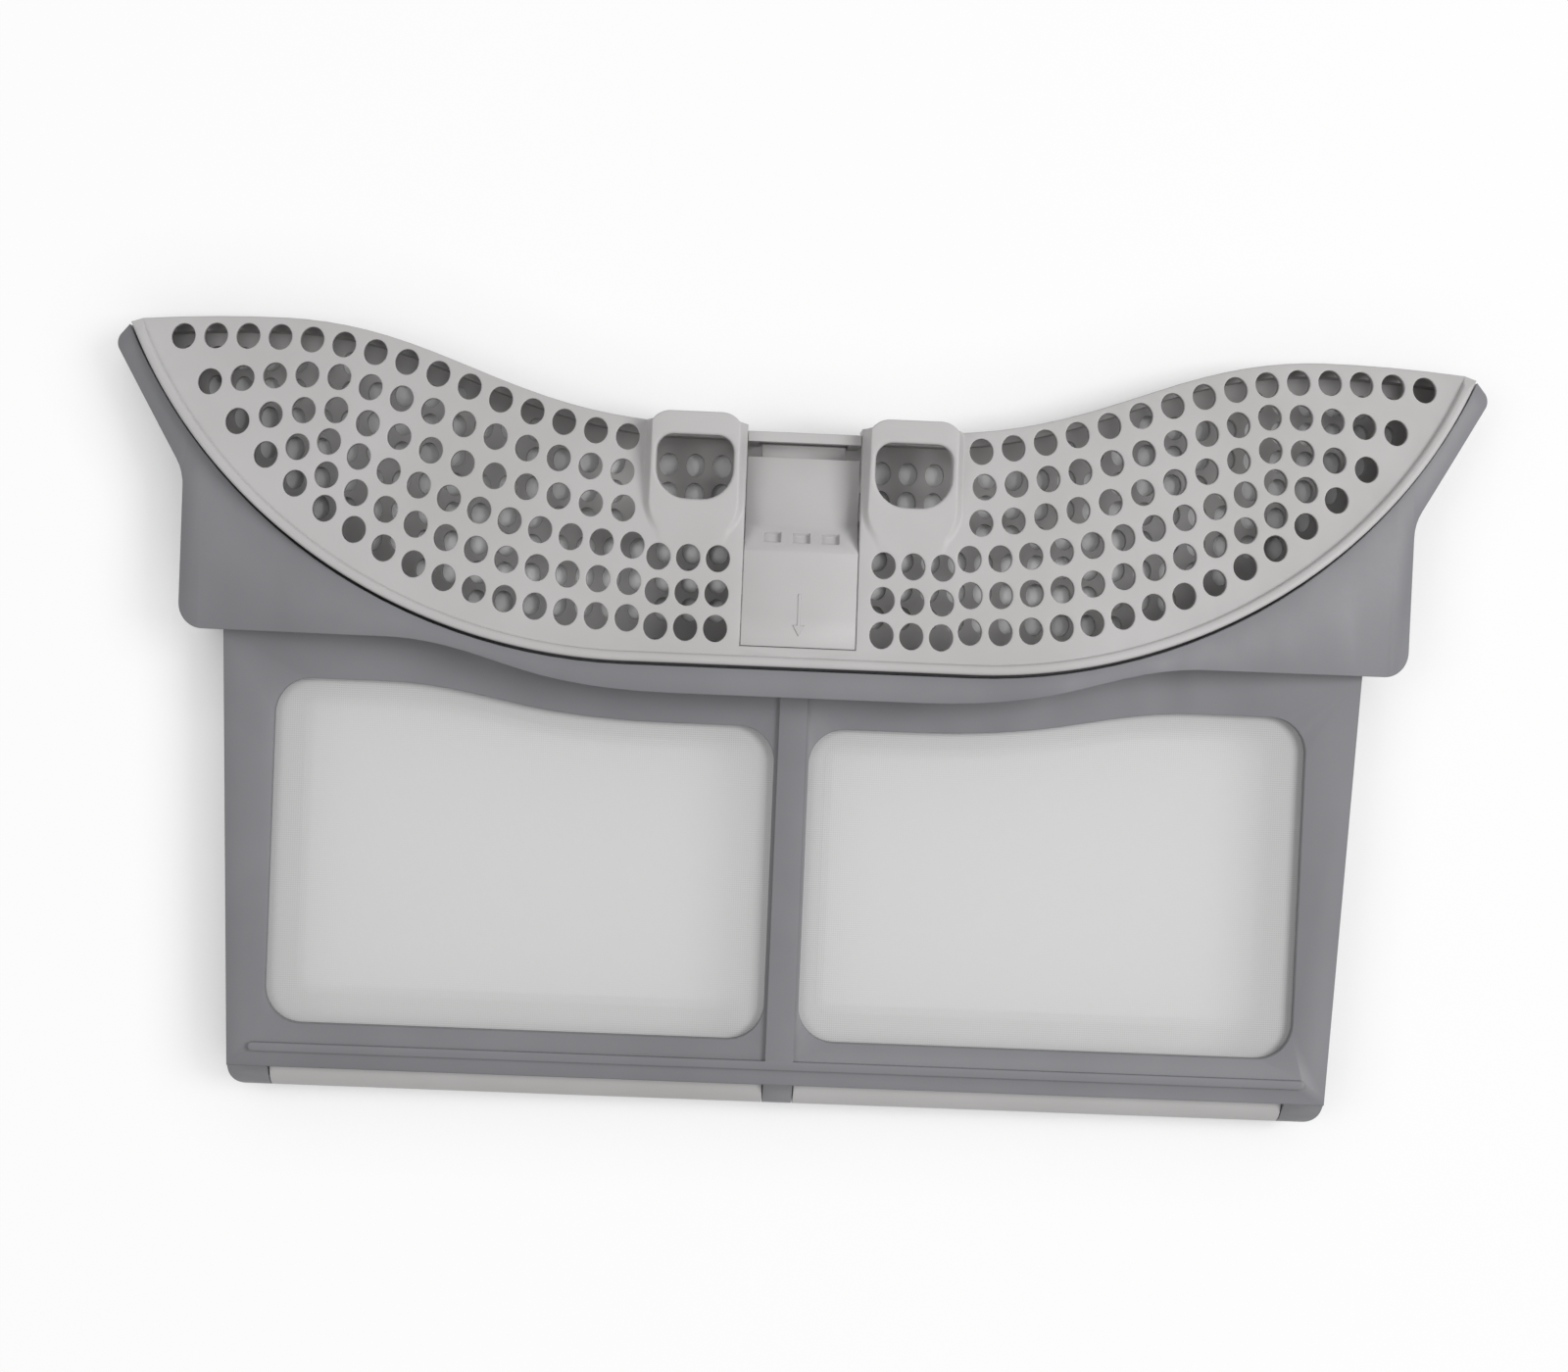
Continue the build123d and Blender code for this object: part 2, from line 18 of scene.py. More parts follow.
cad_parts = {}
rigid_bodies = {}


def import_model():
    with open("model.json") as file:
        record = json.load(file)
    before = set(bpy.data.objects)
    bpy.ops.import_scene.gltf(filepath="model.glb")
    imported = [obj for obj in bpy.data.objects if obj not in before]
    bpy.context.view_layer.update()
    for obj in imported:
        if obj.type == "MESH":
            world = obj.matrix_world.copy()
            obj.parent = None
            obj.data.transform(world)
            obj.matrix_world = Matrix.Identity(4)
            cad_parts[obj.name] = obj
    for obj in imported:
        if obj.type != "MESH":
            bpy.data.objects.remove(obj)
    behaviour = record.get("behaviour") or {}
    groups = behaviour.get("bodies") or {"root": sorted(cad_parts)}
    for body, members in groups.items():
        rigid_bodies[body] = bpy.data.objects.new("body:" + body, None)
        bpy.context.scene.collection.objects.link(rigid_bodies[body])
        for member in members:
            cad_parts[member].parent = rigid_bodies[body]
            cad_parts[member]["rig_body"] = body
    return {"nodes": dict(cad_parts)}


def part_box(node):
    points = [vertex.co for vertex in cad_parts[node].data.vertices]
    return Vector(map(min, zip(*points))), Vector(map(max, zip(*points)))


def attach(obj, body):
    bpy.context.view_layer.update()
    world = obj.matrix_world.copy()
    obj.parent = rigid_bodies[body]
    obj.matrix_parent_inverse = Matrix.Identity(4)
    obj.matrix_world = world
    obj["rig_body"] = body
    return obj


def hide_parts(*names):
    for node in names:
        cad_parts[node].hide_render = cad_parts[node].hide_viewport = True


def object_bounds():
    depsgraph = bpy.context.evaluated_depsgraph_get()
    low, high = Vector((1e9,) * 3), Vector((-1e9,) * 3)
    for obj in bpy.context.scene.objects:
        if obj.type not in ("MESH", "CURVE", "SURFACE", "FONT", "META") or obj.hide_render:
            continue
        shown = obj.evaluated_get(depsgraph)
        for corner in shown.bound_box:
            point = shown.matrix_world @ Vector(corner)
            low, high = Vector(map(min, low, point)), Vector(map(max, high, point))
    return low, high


MM = 0.001
WELD = 0.002 * MM

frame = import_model()
cad_low, cad_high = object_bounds()
nodes = frame["nodes"]
print("nodes:", sorted(nodes))
print("CAD box in mm:", [round(v / MM, 1) for v in (*cad_low, *cad_high)])

# %% [markdown]
# ## Camera
#
# The photograph looks almost straight at the front, a little from the grille's end, and it is
# rolled by about two degrees. The camera could be aimed with a constraint, but a roll is easier
# to state as three small turns, followed by a distance and a focal length.

# %% Camera
IMAGE_WIDTH = 1600
FOCAL_PIXELS = 2498.3
CAMERA_DISTANCE = 700 * MM
CAMERA_SLIDE = Vector((1.99 * MM, -10.5 * MM, -CAMERA_DISTANCE))
PITCH, YAW, ROLL = radians(1.47), radians(1.30), radians(-2.35)

turn = Matrix.Rotation(ROLL, 3, "Z") @ Matrix.Rotation(YAW, 3, "Y") @ Matrix.Rotation(PITCH, 3, "X")
camera_data = bpy.data.cameras.new("photo_camera")
camera_data.lens = FOCAL_PIXELS / IMAGE_WIDTH * camera_data.sensor_width
camera = bpy.data.objects.new("photo_camera", camera_data)
bpy.context.scene.collection.objects.link(camera)
turn_back = turn.transposed()
camera.matrix_world = Matrix.Translation(-(turn_back @ CAMERA_SLIDE)) @ turn_back.to_4x4()
bpy.context.scene.camera = camera
print("lens in mm:", round(camera_data.lens, 1))

# %% [markdown]
# ## Helpers
#
# A colour is written as it looks on a screen and has to be turned to linear light for the shader.
# Shader nodes are added by one small function that takes settings, values and links together. Two
# more turn an edited shape into a mesh and put a mesh into the scene.


# %% Helpers
def linear(hex_colour):
    """Linear RGBA of an sRGB colour such as #BEBCBC."""
    parts = [int(hex_colour[i : i + 2], 16) / 255 for i in (1, 3, 5)]
    curve = [c / 12.92 if c <= 0.04045 else ((c + 0.055) / 1.055) ** 2.4 for c in parts]
    return (*curve, 1.0)


def add_node(tree, kind, settings=None, inputs=None):
    """Adds a shader node, with its settings, and with a value or a link for each named input."""
    node = tree.nodes.new(kind)
    for name, value in (settings or {}).items():
        setattr(node, name, value)
    for name, value in (inputs or {}).items():
        if isinstance(value, bpy.types.NodeSocket):
            tree.links.new(value, node.inputs[name])
        else:
            node.inputs[name].default_value = value
    return node


def new_material(name):
    """A material with an empty node tree and its output node."""
    material = bpy.data.materials.new(name)
    material.use_nodes = True
    material.node_tree.nodes.clear()
    return material, material.node_tree, add_node(material.node_tree, "ShaderNodeOutputMaterial")


def closed_mesh(shape, name):
    """Turns an edited shape into a mesh whose faces look outwards, and says if it is open."""
    bmesh.ops.recalc_face_normals(shape, faces=shape.faces)
    open_edges = sum(edge.is_boundary for edge in shape.edges)
    data = bpy.data.meshes.new(name)
    shape.to_mesh(data)
    shape.free()
    print(name, "has", len(data.polygons), "faces and", open_edges, "open edges")
    return data


def add_piece(data, material):
    """Puts a mesh into the scene as an object of the same name, in one material."""
    data.materials.append(material)
    piece = bpy.data.objects.new(data.name, data)
    bpy.context.scene.collection.objects.link(piece)
    return piece


# %% [markdown]
# ## Moulded polypropylene
#
# Both frames and the grille are injection moulded. The mould's spark-eroded face leaves a fine,
# even grain, and the flow of the melt leaves faint, broad changes of tone. The real grain of about
# 0.2 mm is too fine to show at this distance, so it is drawn at 0.7 mm. Moulded edges are never
# razor sharp, and a bevel node rounds the light over those that no modifier reaches.


# %% Moulded plastics
GRAIN = 0.7 * MM
GRAIN_DEPTH = 0.06 * MM
GRAIN_STRENGTH = 0.25
GRAIN_SHEEN = 0.06
FLOW = 45 * MM
FLOW_SPREAD = (0.35, 0.65)
SOFT_EDGE = 0.4 * MM
SOFT_EDGE_SAMPLES = 6
POLYPROPYLENE_IOR = 1.49


def moulded_polypropylene(name, colour, flow_colour, roughness):
    """Matte moulded plastic with a spark-eroded grain and broad flow tones."""
    material, tree, output = new_material(name)
    place = add_node(tree, "ShaderNodeTexCoord").outputs["Object"]
    flow_size = {"Vector": place, "Scale": 1 / FLOW, "Detail": 3.0}
    flow = add_node(tree, "ShaderNodeTexNoise", None, flow_size)
    tone = add_node(tree, "ShaderNodeValToRGB", None, {"Fac": flow.outputs["Fac"]})
    for stop, position, shade in zip(tone.color_ramp.elements, FLOW_SPREAD, (flow_colour, colour)):
        stop.position = position
        stop.color = linear(shade)
    grain_size = {"Vector": place, "Scale": 1 / GRAIN, "Detail": 2.0}
    grain = add_node(tree, "ShaderNodeTexNoise", None, grain_size)
    edge = add_node(tree, "ShaderNodeBevel", {"samples": SOFT_EDGE_SAMPLES}, {"Radius": SOFT_EDGE})
    bump = add_node(
        tree,
        "ShaderNodeBump",
        None,
        {
            "Height": grain.outputs["Fac"],
            "Strength": GRAIN_STRENGTH,
            "Distance": GRAIN_DEPTH,
            "Normal": edge.outputs["Normal"],
        },
    )
    sheen = add_node(
        tree,
        "ShaderNodeMapRange",
        None,
        {
            "Value": grain.outputs["Fac"],
            "To Min": roughness - GRAIN_SHEEN,
            "To Max": roughness + GRAIN_SHEEN,
        },
    )
    shader = add_node(
        tree,
        "ShaderNodeBsdfPrincipled",
        None,
        {
            "Base Color": tone.outputs["Color"],
            "Roughness": sheen.outputs["Result"],
            "IOR": POLYPROPYLENE_IOR,
            "Normal": bump.outputs["Normal"],
        },
    )
    tree.links.new(shader.outputs["BSDF"], output.inputs["Surface"])
    return material


light_plastic = moulded_polypropylene("light_grey_polypropylene", "#BDBBBB", "#B6B4B3", 0.52)
mid_plastic = moulded_polypropylene("mid_grey_polypropylene", "#828286", "#7B7B7F", 0.5)
print("plastics:", light_plastic.name, mid_plastic.name)

# %% [markdown]
# ## Frames
#
# The front frame and the latch keep their CAD shape. A moulding has no razor edges, so each gets a
# narrow bevel on its sharp edges. The solid's triangles are first welded to their neighbours,
# because a bevel only finds an edge that two faces share.

# %% Frames
EDGE_ROUND = 0.45 * MM
EDGE_SEGMENTS = 2
SHARP_EDGE = radians(50)


def soften(piece, width):
    """Welds a CAD piece's faces together and rounds its sharp edges."""
    for face in piece.data.polygons:
        face.use_smooth = True
    weld = piece.modifiers.new("weld", "WELD")
    weld.merge_threshold = WELD
    bevel = piece.modifiers.new("edges", "BEVEL")
    bevel.width = width
    bevel.segments = EDGE_SEGMENTS
    bevel.limit_method = "ANGLE"
    bevel.angle_limit = SHARP_EDGE
    bevel.use_clamp_overlap = True
    bevel.harden_normals = True


for node, finish in (("front_frame", mid_plastic), ("thumb_latch", light_plastic)):
    soften(nodes[node], EDGE_ROUND)
    nodes[node].data.materials.clear()
    nodes[node].data.materials.append(finish)
    print(node, "in", finish.name)

# %% [markdown]
# ## Grille
#
# The grille is the face of the filter: a curved plate with a raised bead along its rim, two finger
# cowls and close rows of oval holes, all with soft edges. Bevels would crowd between holes that are
# a millimetre and a half apart, so the plate is drawn again as a height over its plan. Outlines are
# triangulated flat, lifted to the height of the moulded face, and walled down round each hole.

# %% Sizes of the grille
CAD_RIM_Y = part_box("grille_cover")[0].y
CAD_BEAD = 3.6 * MM
RIM_RELIEF = 0.5 * MM
RIM_Y = CAD_RIM_Y + RIM_RELIEF
RIM_FLAT = 47 * MM
RIM_RADIUS = 156 * MM - RIM_RELIEF
RIM_DEPTH = 37 * MM
SECTION_RADIUS = 437 * MM
SECTION_LEAN = radians(7)
PLATE = 2.4 * MM
SKIRT_WALL = 0.6 * MM
LINE_GAP = 0.1 * MM
RIM_SKIRT = 7 * MM
SPLIT = 9.2 * MM
BEAD_WIDTH = 2.8 * MM
BEAD_HEIGHT = 1.8 * MM
COWL_X = 29.9 * MM
COWL_TOP = 85 * MM
COWL_LENGTH = 37 * MM
COWL_HALF = 13 * MM
COWL_CORNER = 6 * MM
COWL_DEPTH = 31.4 * MM
SEAM = 0.15 * MM
SLOT_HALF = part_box("thumb_latch")[1].x + SEAM
SLOT_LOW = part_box("thumb_latch")[0].y - SEAM
TOP_FLAT = 82.6 * MM
HOLE_SEGMENTS = 24
RIM_SEGMENTS = 64
FLAT_SEGMENTS = 8
CORNER_SEGMENTS = 6
SLOT_SEGMENTS = 24
NEAR = 0.01 * MM
section_y = CAD_RIM_Y - SECTION_RADIUS * sin(SECTION_LEAN)
section_z = RIM_DEPTH - SECTION_RADIUS * cos(SECTION_LEAN)
rim_centre = Vector((RIM_FLAT, RIM_Y + RIM_RADIUS))


def plate_z(y):
    """Height of the plate's outer face, an arc that leans back from the rim."""
    return section_z + sqrt(SECTION_RADIUS**2 - (y - section_y) ** 2)


print("plate height at the rim in mm:", round(plate_z(RIM_Y) / MM, 1))

# %% [markdown]
# Two distances shape the face. The first, from the rim's line, raises the bead. The second, from
# a cowl's outline, lifts the cowl from the plate to its flat top through a soft step, so a cowl
# melts into the plate where the two are level.


# %% Height of the face
STEP_OUT = 1.1 * MM
STEP_IN = 1.2 * MM
STEP_LINES = 9
step_range = [STEP_OUT - (STEP_OUT + STEP_IN) * i / (STEP_LINES - 1) for i in range(STEP_LINES)]


def inside_rim(x, y):
    """How far a point lies inside the rim's line."""
    side = Vector((abs(x), y)) - rim_centre
    return RIM_RADIUS - side.length if side.x > 0 else y - RIM_Y


def beyond_cowl(x, y):
    """Distance outside the nearer cowl's sides and round bottom, negative inside it."""
    across = abs(abs(x) - COWL_X)
    low = COWL_TOP - COWL_LENGTH + COWL_HALF
    return Vector((across, min(y - low, 0))).length - COWL_HALF


def face_z(x, y, wall=0.0):
    """Height of the grille's outer face, or with a wall, of its underside."""
    bead = 0.0
    if not wall:
        bead_place = abs(2 * inside_rim(x, y) / BEAD_WIDTH - 1)
        bead = BEAD_HEIGHT * (1 - bead_place**4) ** 0.5 if bead_place < 1 else 0.0
    lift = max(COWL_DEPTH - plate_z(y), 0)
    step = (STEP_OUT - beyond_cowl(x, y) - wall) / (STEP_OUT + STEP_IN)
    step = min(max(step, 0), 1)
    return plate_z(y) - wall + bead + lift * step * step * (3 - 2 * step)


cowl_rise = face_z(COWL_X, COWL_TOP) - plate_z(COWL_TOP)
print("cowl stands over the plate by mm:", round(cowl_rise / MM, 1))

# %% [markdown]
# The wavy top edge is drawn freely, so its points are read from the frame: they lie on the largest
# loop round the plate's outer face.


# %% Top edge
COWL_SIDE = COWL_X + COWL_HALF + 0.5 * MM
PLATE_TOLERANCE = 0.3 * MM
FACES_UP = 0.8


def boundary_loops(node, wanted):
    """Closed loops of plan points round the wanted faces of a node, in the same order each run."""
    shape = bmesh.new()
    shape.from_mesh(nodes[node].data)
    bmesh.ops.remove_doubles(shape, verts=shape.verts, dist=WELD)
    dropped = [face for face in shape.faces if not wanted(face)]
    bmesh.ops.delete(shape, geom=dropped, context="FACES")
    border = [edge for edge in shape.edges if edge.is_boundary]
    left = dict.fromkeys(sorted(border, key=lambda e: [*e.verts[0].co, *e.verts[1].co]))
    loops = []
    while left:
        edge, _ = left.popitem()
        start, here = edge.verts
        loop = [start.co.xy.copy()]
        while here is not start:
            loop.append(here.co.xy.copy())
            edge = next(e for e in here.link_edges if e in left)
            del left[edge]
            here = edge.other_vert(here)
        loops.append(loop)
    shape.free()
    return loops


def polygon_area(loop):
    """Area of a closed loop of points."""
    return abs(sum(a.x * b.y - b.x * a.y for a, b in zip(loop, loop[1:] + loop[:1]))) / 2


def on_plate(face):
    """True for a face of the grille's outer plate."""
    middle = face.calc_center_median()
    return face.normal.z > FACES_UP and abs(middle.z - plate_z(middle.y)) < PLATE_TOLERANCE


def on_top_edge(point):
    """True for a point of the plate's outline between a cowl and the right wing's tip."""
    return point.x > COWL_SIDE and inside_rim(point.x, point.y) > CAD_BEAD


plate_outline = max(boundary_loops("grille_cover", on_plate), key=polygon_area)
wing_corner = max(plate_outline, key=lambda p: p.x)
top_edge = [wing_corner, *sorted(filter(on_top_edge, plate_outline), key=lambda p: -p.x)]
print("top edge:", len(top_edge), "points")

# %% [markdown]
# The perforations stand in rows. The lowest row follows the rim, the highest follows the top edge,
# and the others share the room between them. Towards the wing's tip the room shrinks, and the rows
# end one by one on the lowest row's line. Beside the latch there is a block of three by three.

# %% Perforations
HOLE_WIDTH = 6.5 * MM
HOLE_HEIGHT = 7.3 * MM
ROW_COUNTS = (11, 12, 13, 13, 14, 15)
ROW_STARTS = (46.6, 46.5, 46.0, 49.0, 49.7, 48.7)
FIRST_ROW_END = 130 * MM
ROW_END_STEP = 8.5 * MM
RIM_TO_ROW = 11.6 * MM
EDGE_TO_ROW = 5.6 * MM
SHORTEST_RUN = 1e-9
BLOCK_COUNT = 3
BLOCK_X = 22.6 * MM
BLOCK_Y = 26.1 * MM
BLOCK_PITCH_X = 8.1 * MM
BLOCK_PITCH_Y = 9.5 * MM


def low_row_y(x):
    """Height in plan of the row that follows the rim."""
    out = max(x - rim_centre.x, 0)
    return rim_centre.y - sqrt((RIM_RADIUS - RIM_TO_ROW) ** 2 - out**2)


def high_row_y(x):
    """Height in plan of the row that follows the top edge."""
    for outer, inner in zip(top_edge, top_edge[1:]):
        if inner.x <= x <= outer.x:
            share = (x - inner.x) / max(outer.x - inner.x, SHORTEST_RUN)
            return inner.y + (outer.y - inner.y) * share - EDGE_TO_ROW
    return top_edge[-1].y - EDGE_TO_ROW


def row_y(row, x):
    """Height in plan of a row, counted from the rim, at a distance from the middle."""
    top_row = len(ROW_COUNTS) - 1
    lost = max(x - FIRST_ROW_END, 0) / ROW_END_STEP
    share = (row - lost) / (top_row - lost) if row < top_row else 1
    return low_row_y(x) + (high_row_y(x) - low_row_y(x)) * share


right_holes = []
for row, (count, row_start) in enumerate(zip(ROW_COUNTS, ROW_STARTS)):
    row_end = FIRST_ROW_END + ROW_END_STEP * row
    for i in range(count):
        x = row_start * MM + (row_end - row_start * MM) * i / (count - 1)
        right_holes.append(Vector((x, row_y(row, x))))
for column in range(BLOCK_COUNT):
    for row in range(BLOCK_COUNT):
        spot = (BLOCK_X + column * BLOCK_PITCH_X, BLOCK_Y + row * BLOCK_PITCH_Y)
        right_holes.append(Vector(spot))
holes = [Vector((side * p.x, p.y)) for p in right_holes for side in (-1, 1)]
print("holes:", len(holes))

# %% [markdown]
# The outer loop runs along the rim, up to a wing's tip, back along the wavy top edge, round the
# cowl's corners and down into the latch's slot. It is drawn for the right half and mirrored. Where
# a cowl's soft step meets the edge the loop gets closer points, so that the edge bends with it.


# %% Outer loop
def arc_points(middle, radius, start, end, count):
    """Points along an arc between two angles in degrees."""
    turns = [radians(start + (end - start) * i / count) for i in range(count + 1)]
    return [Vector((middle.x + radius * cos(t), middle.y + radius * sin(t))) for t in turns]


def run(start, end, count):
    """Evenly spaced points from a start up to, but not including, an end."""
    return [start.lerp(end, i / count) for i in range(count)]


def on_run(start, end, x):
    """The point of a straight run that lies at a distance from the middle."""
    return start.lerp(end, (x - start.x) / (end.x - start.x))


tip = max((v.co.xy.copy() for v in nodes["grille_cover"].data.vertices), key=lambda p: p.x)
tip_angle = degrees(atan2(tip.y - rim_centre.y, tip.x - rim_centre.x))
corner_y = COWL_TOP - COWL_CORNER
corner_turn = degrees(asin((TOP_FLAT - corner_y) / COWL_CORNER))
outer_corner = Vector((COWL_X + COWL_HALF - COWL_CORNER, corner_y))
inner_corner = Vector((COWL_X - COWL_HALF + COWL_CORNER, corner_y))
slot_top = Vector((SLOT_HALF, TOP_FLAT))
slot_low = Vector((SLOT_HALF, SLOT_LOW))
outer_arc = arc_points(outer_corner, COWL_CORNER, corner_turn, 90, CORNER_SEGMENTS)
inner_arc = arc_points(inner_corner, COWL_CORNER, 90, 180 - corner_turn, CORNER_SEGMENTS)
outer_steps = [COWL_X + COWL_HALF + step for step in step_range[:-1]]
inner_steps = [COWL_X - COWL_HALF - step for step in reversed(step_range[:-1])]
inner_steps = [x for x in inner_steps if x > SLOT_HALF + SKIRT_WALL + LINE_GAP]
right_half = [
    *run(Vector((0, RIM_Y)), Vector((RIM_FLAT, RIM_Y)), FLAT_SEGMENTS),
    *arc_points(rim_centre, RIM_RADIUS, -90, tip_angle, RIM_SEGMENTS),
    *top_edge,
    *[on_run(top_edge[-1], outer_arc[0], x) for x in outer_steps],
    *outer_arc,
    *inner_arc,
    *[on_run(inner_arc[-1], slot_top, x) for x in inner_steps],
    *run(slot_top, slot_low, SLOT_SEGMENTS),
    slot_low,
]
mirrored = [Vector((-p.x, p.y)) for p in reversed(right_half[1:])]
outer_loop = right_half + mirrored
print("outer loop:", len(outer_loop), "points")

# %% [markdown]
# The face is triangulated inside that loop. Lines along the bead and the cowls' sides give the
# height something to bend at, and a ring round each hole leaves room for its rounded lip.


# %% Triangulated face
LIP = 0.3 * MM
TIP_CLEARANCE_DEGREES = 1.2
COWL_LINE_START_DEGREES = -40
COWL_ARC_SEGMENTS = 8
COWL_SIDE_SEGMENTS = 10
PLAN_TOLERANCE = 1e-5
TURNED_BACK = 0.01
SMALLEST_SPREAD = 0.5
BEAD_LINES = (0.02, 0.05, 0.12, 0.25, 0.5, 0.75, 0.88, 0.95, 0.98, 1.0)
FINGER_HALF = 10.5 * MM
FINGER_LOW = 61.15 * MM
FINGER_HIGH = 78.65 * MM
FINGER_TOP_CORNER = 4.5 * MM
FINGER_LOW_CORNER = 8.5 * MM
FINGER_SEGMENTS = 8
FINGER_LIP = 0.7 * MM


def offset_loop(loop, inward):
    """A closed loop moved inwards by a distance, corner by corner."""
    moved = []
    for before, here, after in zip(loop[-1:] + loop[:-1], loop, loop[1:] + loop[:1]):
        first, second = (here - before).normalized(), (after - here).normalized()
        normal = Vector((-first.y - second.y, first.x + second.x))
        first_normal = Vector((-first.y, first.x))
        normal = normal.normalized() if normal.length > TURNED_BACK else first_normal
        spread = max(normal.dot(first_normal), SMALLEST_SPREAD)
        moved.append(here + normal * inward / spread)
    return moved


def oval_ring(middle, width, height):
    """Points round an oval."""
    turns = [2 * pi * i / HOLE_SEGMENTS for i in range(HOLE_SEGMENTS)]
    return [middle + Vector((width / 2 * cos(t), height / 2 * sin(t))) for t in turns]


def hole_ring(hole, grow):
    """Points round one oval hole of the grille, grown by a distance."""
    return oval_ring(hole, HOLE_WIDTH + 2 * grow, HOLE_HEIGHT + 2 * grow)


def finger_ring(side, grow):
    """Points round one finger hole, flat at its top and round below, grown by a distance."""
    points = []
    for x, y, corner, start in (
        (1, FINGER_HIGH, FINGER_TOP_CORNER, 0),
        (-1, FINGER_HIGH, FINGER_TOP_CORNER, 90),
        (-1, FINGER_LOW, FINGER_LOW_CORNER, 180),
        (1, FINGER_LOW, FINGER_LOW_CORNER, 270),
    ):
        up = 1 if y == FINGER_HIGH else -1
        middle = Vector((side * COWL_X + x * (FINGER_HALF - corner), y - up * corner))
        points += arc_points(middle, corner + grow, start, start + 90, FINGER_SEGMENTS)
    return points


def bead_line(inward):
    """Points along the rim at a distance inside it, from wing to wing."""
    half = run(Vector((0, RIM_Y + inward)), Vector((RIM_FLAT, RIM_Y + inward)), FLAT_SEGMENTS)
    end = tip_angle - TIP_CLEARANCE_DEGREES
    half += arc_points(rim_centre, RIM_RADIUS - inward, -90, end, RIM_SEGMENTS)
    return [Vector((-p.x, p.y)) for p in reversed(half[1:])] + half


def cowl_line(side, beyond):
    """Points up both sides of a cowl at a distance beyond its outline, just short of the edge."""
    low = COWL_TOP - COWL_LENGTH + COWL_HALF
    middle, start = Vector((COWL_X, low)), COWL_LINE_START_DEGREES
    arc = arc_points(middle, COWL_HALF + beyond, start, 0, COWL_ARC_SEGMENTS)
    top = Vector((arc[-1].x, TOP_FLAT - SKIRT_WALL - LINE_GAP))
    outer = [*arc, *run(arc[-1], top, COWL_SIDE_SEGMENTS)[1:], top]
    inner = [Vector((2 * COWL_X - p.x, p.y)) for p in outer]
    inner = [p for p in inner if p.x > SLOT_HALF + LIP + LINE_GAP]
    return [[Vector((side * p.x, p.y)) for p in line] for line in (outer, inner)]


def inside(point, loop):
    """True inside a closed loop: a line to the right crosses it an odd number of times."""
    odd = False
    for a, b in zip(loop, loop[1:] + loop[:1]):
        if (a.y > point.y) != (b.y > point.y):
            odd ^= point.x < a.x + (point.y - a.y) / (b.y - a.y) * (b.x - a.x)
    return odd


def triangulate(outline, rings, lines):
    """Flat triangles inside an outline and outside its rings, and which points the rings have."""
    points, edges, owner = [], [], []
    for number, ring in enumerate([outline, *rings]):
        first = len(points)
        edges += [(first + i, first + (i + 1) % len(ring)) for i in range(len(ring))]
        points += ring
        owner += [number] * len(ring)
    for line in lines:
        edges += [(len(points) + i, len(points) + i + 1) for i in range(len(line) - 1)]
        points += line
        owner += [0] * len(line)
    flat = [p / MM for p in points]
    plan, _, faces, origins, *_ = delaunay_2d_cdt(flat, edges, [], 1, PLAN_TOLERANCE)
    place, member = {}, []
    for index, sources in enumerate(origins):
        place.update({source: index for source in sources})
        member.append(max([owner[source] for source in sources], default=0))
    kept = []
    for face in faces:
        ring = member[face[0]]
        lone = 0 < ring == member[face[1]] == member[face[2]]
        middle = sum((plan[i] for i in face), Vector((0, 0))) / 3 * MM
        if not (lone and inside(middle, rings[ring - 1])):
            kept.append(face)
    places = [[place[i] for i, o in enumerate(owner) if o == n] for n in range(1, len(rings) + 1)]
    border = [place[i] for i in range(len(outline))]
    return [p * MM for p in plan], kept, border, places


bend_lines = [bead_line(share * BEAD_WIDTH) for share in BEAD_LINES]
for side in (-1, 1):
    for beyond in step_range:
        bend_lines += cowl_line(side, beyond)
front_openings = [hole_ring(hole, LIP) for hole in holes]
front_openings += [finger_ring(side, FINGER_LIP) for side in (-1, 1)]
front = triangulate(offset_loop(outer_loop, LIP), front_openings, bend_lines)
print("front face:", len(front[0]), "points,", len(front[1]), "triangles")

# %% [markdown]
# The underside is a second sheet, one plate's thickness lower. Walls join the two round each hole,
# and a skirt closes the outer edge: deep along the top, shallow along the rim.


# %% Solid grille
UNDER_LINES = 5
LIP_STEPS = ((0.3, 0.3), (0.0, 1.0))


def skirt_z(point):
    """Height that the outer edge reaches down to at a point of the outer loop."""
    plate_under = plate_z(point.y) - PLATE
    if inside_rim(point.x, point.y) < NEAR:
        return plate_z(point.y) - RIM_SKIRT
    if abs(point.x) < SLOT_HALF + NEAR and point.y < TOP_FLAT - PLATE:
        return plate_under
    if abs(point.x) < COWL_X + COWL_HALF - STEP_IN and point.y > TOP_FLAT + NEAR:
        return plate_z(COWL_TOP) - PLATE
    return SPLIT


def bridge(shape, first, second):
    """Quads between two closed rings of vertices."""
    for i in range(len(first)):
        j = (i + 1) % len(first)
        corners = [first[i], first[j], second[j], second[i]]
        if len(set(corners)) == 4:
            shape.faces.new(corners)


def add_sheet(shape, sheet, wall):
    """Adds a flat sheet's points and triangles at the face's height, or at the underside's."""
    plan, faces, border, places = sheet
    verts = [shape.verts.new((p.x, p.y, face_z(p.x, p.y, wall))) for p in plan]
    for face in faces:
        shape.faces.new([verts[i] for i in (face if not wall else reversed(face))])
    return [verts[i] for i in border], [[verts[i] for i in place] for place in places]


